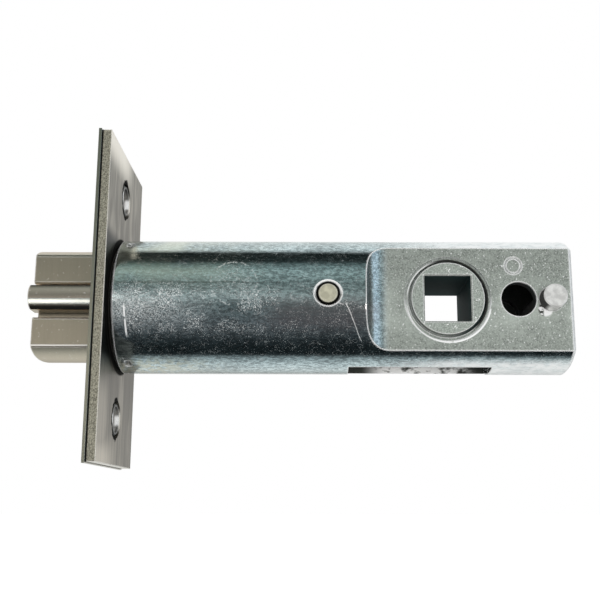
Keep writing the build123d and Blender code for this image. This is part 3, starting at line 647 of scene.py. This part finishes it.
def satin_nickel(name, level, along, rough_range, crown, face):
    """Warm satin nickel with fine lines along the stretch; crown flattens a round near side
    and bronzes it, and face is the tone of a flat near side."""
    s = Surface(name)
    soft, edge_wear_and_highlight = s.edges(0.0003, 0.998, 0.975)
    near_side = s.product(s.step(s.facing_y, -0.05, -0.30), crown)
    soft = s.lean(soft, CROWN_FACING, near_side)
    lines = s.noise(s.stretch(s.place, along), 2400.0, 4.0, 0.6)
    cloud = s.noise(s.place, 160.0, 2.0)
    fleck = s.product(s.step(s.noise(s.place, 2200.0, 1.0), 0.68, 0.78), 0.5)
    colour = s.mix(lines, grey(level * 0.84, NICKEL), grey(level * 1.10, NICKEL))
    colour = s.mix(s.product(cloud, 0.35), colour, grey(level * 0.9, NICKEL))
    round_side = s.step(near_side, 0.1, 0.4)
    bronze = s.mix(lines, grey(level * 0.84, BRONZED), grey(level * 1.05, BRONZED))
    colour = s.mix(round_side, colour, bronze)
    tone = s.lerp(s.step(s.facing_y, -0.93, -0.985), 1.0, face)
    colour = s.mix(1.0, colour, tone, "MULTIPLY")
    # Painted highlight tone: a neutral colour where the lamp's highlight falls on the round side
    lit = s.product(s.span(s.facing_z, -0.70, -0.24, 0.08), round_side)
    colour = s.mix(lit, colour, grey(level, WARM))
    # Painted shade on the underside of the round near side
    under = s.product(s.step(s.facing_z, -0.60, -0.88), near_side)
    colour = s.mix(s.math("MINIMUM", s.product(under, 1.7), 0.92), colour, grey(0.02))
    # Painted highlight along the bolt's lower corner
    corner = s.product(s.span(s.facing_z, -0.56, -0.10, 0.05), s.step(s.facing_y, -0.74, -0.82),
                       s.step(near_side, 0.1, 0.0),
                       s.step(s.z, -BOLT_CORNER - 0.00004, -BOLT_CORNER + 0.00004))
    # Pale edges: part wear, part painted edge highlight
    bare_and_highlight = s.most(s.product(edge_wear_and_highlight, 0.8), fleck, corner)
    colour = s.mix(bare_and_highlight, colour, grey(0.94, WARM))
    rough = s.lerp(lines, *rough_range)
    metallic = s.lerp(bare_and_highlight, 1.0, 0.2)
    normal = s.bump(lines, 0.000006, soft)
    return s.close(colour, rough, normal, metallic)


def cast_hub():
    """Matt grey casting with fine grain, turned edges pale from wear and painted highlight, and painted
    shade in its square hole.
    """
    s = Surface("cast_hub")
    soft, edge_wear_and_highlight = s.edges(0.0003)
    grain = s.noise(s.place, CAST_GRAIN, 3.0, 0.6)
    colour = s.mix(s.step(grain, 0.32, 0.68), grey(0.30, GREEN), grey(0.60, GREEN))
    fleck = s.step(s.noise(s.place, 2100.0, 1.0), 0.66, 0.74)
    # Pale edges: part wear, part painted highlight; bright flecks
    bare_and_highlight = s.most(s.product(fleck, 0.8), edge_wear_and_highlight)
    colour = s.mix(bare_and_highlight, colour, BRIGHT_TONE)
    # Painted shade on the walls of the square hole and in the gap round the face disc, lighter to the front
    across = s.most(s.size(s.minus(s.x, AXIS_X)), s.size(s.z))
    wall = s.product(s.step(across, SQUARE_HALF + 0.00005, SQUARE_HALF + 0.00001),
                     s.step(s.size(s.facing_y), 0.5, 0.3))
    moat = s.product(s.step(s.round_y(AXIS_X), HUB_RADIUS - 0.00006, HUB_RADIUS - 0.00002),
                     s.step(s.y, -FLAT_OFFSET - 0.0001, -FLAT_OFFSET + 0.0002),
                     s.lerp(s.step(s.x, AXIS_X - 0.003, AXIS_X + 0.005), 0.15, 0.95))
    shade = s.most(wall, moat)
    colour = s.mix(shade, colour, HOLE_DARK)
    rough = s.lerp(shade, s.lerp(grain, 0.34, 0.54), 0.7)
    metallic = s.lerp(shade, s.lerp(bare_and_highlight, 0.5, 0.1), 0.0)
    normal = s.bump(grain, 0.000022, soft)
    return s.close(colour, rough, normal, metallic, s.lerp(shade, 0.5, 0.1))


def pin_steel(name, tint, level):
    """Pin ends: grainy sheared face with a brighter edge, part wear and part painted highlight, and painted
    shade on the side to the front. Round the face of the cross pin a dark gap is painted as shade."""
    s = Surface(name)
    soft, edge_wear_and_highlight = s.edges(0.00016)
    grain = s.noise(s.place, 2600.0, 3.0, 0.6)
    blotch = s.noise(s.place, 900.0, 2.0)
    colour = s.mix(s.step(blotch, 0.35, 0.65), grey(level * 0.74, tint), grey(level, tint))
    # Pale edges: part wear, part painted edge highlight
    colour = s.mix(s.product(edge_wear_and_highlight, 0.8), colour, grey(0.96))
    # Painted shade: a dark gap round the cross pin's face, and the side of each pin that faces the front
    gap = s.product(s.step(s.round_y(PIN_X), PIN_FACE - 0.00005, PIN_FACE + 0.00005),
                    s.step(s.x, AXIS_X, PIN_X))
    side = s.product(s.step(s.size(s.facing_y), 0.6, 0.3), s.step(s.facing_x, -0.3, -0.7), 0.92)
    dark = s.most(gap, side)
    colour = s.mix(dark, colour, DARK)
    rough = s.lerp(dark, s.lerp(grain, 0.30, 0.48), 0.8)
    metallic = s.lerp(dark, 0.25, 0.0)
    normal = s.bump(grain, 0.000018, soft)
    return s.close(colour, rough, normal, metallic, s.lerp(dark, 0.5, 0.05))


def plated_steel(name, low, high, metallic):
    """Plain plated steel of the inner pieces, between two levels."""
    s = Surface(name)
    soft, edge_wear_and_highlight = s.edges(0.00015)
    grain = s.noise(s.place, 1800.0, 3.0, 0.6)
    cloud = s.noise(s.place, 420.0, 3.0)
    colour = s.mix(s.step(cloud, 0.36, 0.60), grey(low, COOL), grey(high, WARM))
    # Pale edges: part wear, part painted edge highlight
    colour = s.mix(s.product(edge_wear_and_highlight, 0.6), colour, grey(0.85))
    rough = s.lerp(grain, 0.28, 0.46)
    normal = s.bump(grain, 0.000010, soft)
    return s.close(colour, rough, normal, metallic)


def drawn_wire():
    """Spring wire with faint drawing lines."""
    s = Surface("drawn_wire")
    grain = s.noise(s.place, 3000.0, 3.0, 0.6)
    cloud = s.noise(s.place, 300.0, 2.0)
    colour = s.mix(cloud, grey(0.38, COOL), grey(0.55, COOL))
    rough = s.lerp(grain, 0.22, 0.38)
    plain = s.node("NewGeometry").outputs["Normal"]
    return s.close(colour, rough, s.bump(grain, 0.000006, plain))


def dress(material, *names):
    """Gives nodes their material."""
    for name in names:
        mesh = frame["nodes"][name].data
        mesh.materials.clear()
        mesh.materials.append(material)


WIRE = drawn_wire()
dress(zinc_case(), "near_case_half", "far_case_half")
dress(brushed_forend(), "inner_forend")
dress(satin_faceplate(), "outer_faceplate")
dress(satin_nickel("nickel_bolt", level=0.66, along=(1.0, 1.0, 0.04), rough_range=(0.26, 0.40),
                   crown=0.0, face=0.62), "latch_bolt")
dress(satin_nickel("nickel_plunger", level=0.72, along=(0.04, 1.0, 1.0), rough_range=(0.15, 0.23),
                   crown=0.60, face=1.0), "deadlock_plunger")
dress(cast_hub(), "hub")
dress(pin_steel("sheared_pin", tint=(1.05, 1.0, 0.76), level=0.58), "cross_pin")
dress(pin_steel("bright_pin", tint=(1.03, 1.02, 1.0), level=0.76), "end_pin")
dress(plated_steel("plated_fork", low=0.42, high=0.92, metallic=0.10),
      "retractor_fork", "fork_rivets", "deadlock_pawl")
dress(plated_steel("cast_abutment", low=0.44, high=0.57, metallic=0.6), "spring_abutment")
dress(WIRE, "bolt_spring", "plunger_spring", "pawl_spring")


# Coil springs

RING_POINTS = 12
STEPS_PER_TURN = 32
CLOSED_TURNS = 1.0


def wire_coil(name, start, axis, side, length, radius, wire, turns):
    """Round-wire coil with a closed turn at each end, as a clean closed mesh."""
    other = axis.cross(side)
    steps = int(turns * STEPS_PER_TURN)
    open_turns = turns - 2 * CLOSED_TURNS
    rise = length - wire * (1 + 2 * CLOSED_TURNS)

    def height(turn):
        closed = min(turn, CLOSED_TURNS) + max(0.0, turn - turns + CLOSED_TURNS)
        share = min(max(turn - CLOSED_TURNS, 0.0), open_turns) / open_turns
        return wire / 2 + closed * wire + share * rise

    def centre(step):
        turn = step / STEPS_PER_TURN
        angle = 2 * math.pi * turn
        outward = side * math.cos(angle) + other * math.sin(angle)
        return start + outward * radius + axis * height(turn), outward

    points, faces = [], []
    for step in range(steps + 1):
        middle, outward = centre(step)
        for k in range(RING_POINTS):
            around = 2 * math.pi * k / RING_POINTS
            points.append(middle + (outward * math.cos(around) + axis * math.sin(around)) * wire / 2)
    for step in range(steps):
        low, high = step * RING_POINTS, (step + 1) * RING_POINTS
        for k in range(RING_POINTS):
            nxt = (k + 1) % RING_POINTS
            faces.append((low + k, low + nxt, high + nxt, high + k))
    faces.append(tuple(reversed(range(RING_POINTS))))
    faces.append(tuple(range(steps * RING_POINTS, (steps + 1) * RING_POINTS)))
    mesh = bpy.data.meshes.new(name)
    mesh.from_pydata([tuple(p) for p in points], [], faces)
    mesh.polygons.foreach_set("use_smooth", [True] * len(mesh.polygons))
    mesh.materials.append(WIRE)
    coil = bpy.data.objects.new(name, mesh)
    bpy.context.scene.collection.objects.link(coil)
    return coil


def spring_for(node, body, axis, wire, turns):
    """Coil that stands for a spring node, in the box that the node fills."""
    low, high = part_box(node)
    middle = (low + high) / 2
    length = abs((high - low).dot(axis))
    side = Vector((0, 1, 0))
    radius = (high - low).dot(side) / 2 - wire / 2
    coil = wire_coil(node + "_coil", middle - axis * length / 2, axis, side, length, radius, wire, turns)
    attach(coil, body)
    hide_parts(node)
    return coil, length


X_AXIS = Vector((1, 0, 0))
Z_AXIS = Vector((0, 0, 1))

for node, body, joint, wire, turns in (
    ("bolt_spring", "case", "bolt_slide", 0.9 * MM, 11),
    ("plunger_spring", "bolt", "plunger_slide", 0.32 * MM, 12),
):
    coil, length = spring_for(node, body, X_AXIS, wire, turns)
    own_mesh(coil)
spring_for("pawl_spring", "pawl", Z_AXIS, 0.28 * MM, 9)


# Floor

def make_floor():
    """Pale round floor that is white to the camera and keeps a soft shadow."""
    bpy.ops.mesh.primitive_circle_add(vertices=96, radius=FLOOR_RADIUS, fill_type="NGON",
                                      location=(AXIS_X, 0, FLOOR_HEIGHT))
    floor = bpy.context.object
    floor.name = "floor"
    material = bpy.data.materials.new("pale_floor")
    material.use_nodes = True
    g = Graph(material.node_tree)
    path = g.node("LightPath").outputs
    glint_speck = g.noise(g.node("TexCoord").outputs["Object"], 40.0)
    colour = g.mix(g.product(glint_speck, 0.1), FLOOR_COLOUR, WHITE)
    diffuse = g.node("BsdfDiffuse", {"Color": colour})
    glow = g.node("Emission", {"Color": WHITE, "Strength": g.product(path["Is Camera Ray"], FLOOR_GLOW)})
    both = g.node("AddShader", {0: diffuse.outputs[0], 1: glow.outputs[0]})
    g.node("OutputMaterial", {"Surface": both.outputs[0]})
    floor.data.materials.append(material)
    floor.visible_glossy = False


make_floor()


# World

# Round the case's axis: degrees from the far side upwards, level, tint
ROOM = (
    (12.5, 0.90, (1.0, 1.0, 0.99)),
    (32.0, 0.80, (0.95, 1.0, 0.99)),
    (74.0, 0.74, (0.88, 1.0, 1.02)),
    (84.0, 0.012, (0.60, 1.0, 1.0)),
    (106.0, 0.024, (0.65, 1.0, 1.0)),
    (119.0, 0.26, (0.70, 1.0, 1.0)),
    (128.0, 0.38, (0.75, 1.0, 0.99)),
    (142.0, 0.29, (0.75, 1.0, 0.99)),
    (151.0, 0.21, (0.75, 1.0, 0.99)),
    (164.0, 0.27, (0.80, 1.0, 0.99)),
    (174.0, 0.34, (0.82, 1.0, 1.0)),
    (187.0, 0.15, (0.78, 1.0, 1.03)),
    (214.0, 0.115, (0.84, 1.0, 1.08)),
    (230.0, 0.085, (0.86, 1.0, 1.08)),
    (246.0, 0.038, (0.78, 1.0, 1.1)),
    (262.0, 0.018, (0.7, 1.0, 1.1)),
    (279.0, 0.018, (0.7, 1.0, 1.1)),
    (288.0, 0.36, (0.82, 1.0, 1.04)),
    (304.0, 0.68, (0.88, 1.0, 1.02)),
    (326.0, 0.74, (0.92, 1.0, 1.0)),
    (346.0, 0.46, (0.95, 1.0, 0.98)),
    (372.5, 0.90, (1.0, 1.0, 0.99)),
)
ROOM_START = ROOM[0][0]
ROOM_RIGHT = (0.52, 0.66, 0.76, 1)
ROOM_RIGHT_REAR = (0.05, 0.06, 0.06, 1)
ROOM_LEFT = (0.36, 0.35, 0.34, 1)
ROOM_FILL = 0.95


def make_world():
    """White to the camera. The metal sees a pale sheet behind the part, a grey room in front of
    it and dark sides, and other light comes evenly from all round."""
    world = bpy.data.worlds.new("studio")
    bpy.context.scene.world = world
    world.use_nodes = True
    g = Graph(world.node_tree)
    path = g.node("LightPath").outputs
    x, y, z = g.parts(g.node("TexCoord").outputs["Generated"])
    angle = g.math("ARCTAN2", z, y)
    turn = g.math("MULTIPLY_ADD", angle, 1 / (2 * math.pi), 1 - ROOM_START / 360)
    place = g.math("FRACT", turn)
    stops = [((degrees - ROOM_START) / 360, grey(level, tint)) for degrees, level, tint in ROOM]
    band = g.ramp(place, stops)
    right = g.mix(g.step(y, 0.0, 0.3), ROOM_RIGHT, ROOM_RIGHT_REAR)
    seen = g.mix(g.step(x, 0.66, 0.90), band, right)
    seen = g.mix(g.step(x, -0.70, -0.95), seen, ROOM_LEFT)
    shiny = g.most(path["Is Glossy Ray"], path["Is Transmission Ray"])
    lit = g.mix(shiny, grey(ROOM_FILL), seen)
    colour = g.mix(path["Is Camera Ray"], lit, WHITE)
    background = g.node("Background", {"Color": colour})
    g.node("OutputWorld", {"Surface": background.outputs[0]})


make_world()


# Lamps

def area_lamp(name, place, aim, size, power, colour, mirrored):
    """Rectangular lamp; only a mirrored one shows as a highlight on the metal."""
    lamp = bpy.data.lights.new(name, "AREA")
    lamp.shape = "RECTANGLE"
    lamp.size, lamp.size_y = size
    lamp.energy = power
    lamp.color = colour
    holder = bpy.data.objects.new(name, lamp)
    bpy.context.scene.collection.objects.link(holder)
    holder.location = place
    holder.rotation_euler = (aim - Vector(place)).to_track_quat("-Z", "Y").to_euler()
    holder.visible_glossy = mirrored


CENTRE = (cad_low + cad_high) / 2
area_lamp("left_window", place=(-0.19, -0.57, 0.050), aim=CENTRE, size=(0.10, 0.12),
          power=0.085, colour=(1.0, 0.99, 0.95), mirrored=True)
area_lamp("right_window", place=(0.156, -0.341, -0.055), aim=CENTRE, size=(0.12, 0.05),
          power=0.13, colour=(1.0, 1.0, 0.97), mirrored=True)
area_lamp("top_soft", place=(0.10, -0.35, 0.50), aim=CENTRE, size=(0.5, 0.25),
          power=0.30, colour=(0.98, 1.0, 0.99), mirrored=False)


# Camera

camera = bpy.data.cameras.new("camera")
camera.sensor_width = CAMERA_SENSOR
camera.lens = CAMERA_LENS
camera.shift_x, camera.shift_y = CAMERA_SHIFT
camera.clip_start = CAMERA_NEAREST
camera_object = bpy.data.objects.new("camera", camera)
bpy.context.scene.collection.objects.link(camera_object)
camera_object.location = CAMERA_PLACE
camera_object.rotation_euler = [math.radians(a) for a in CAMERA_TURN]
bpy.context.scene.camera = camera_object
bpy.context.scene.view_settings.view_transform = "Standard"
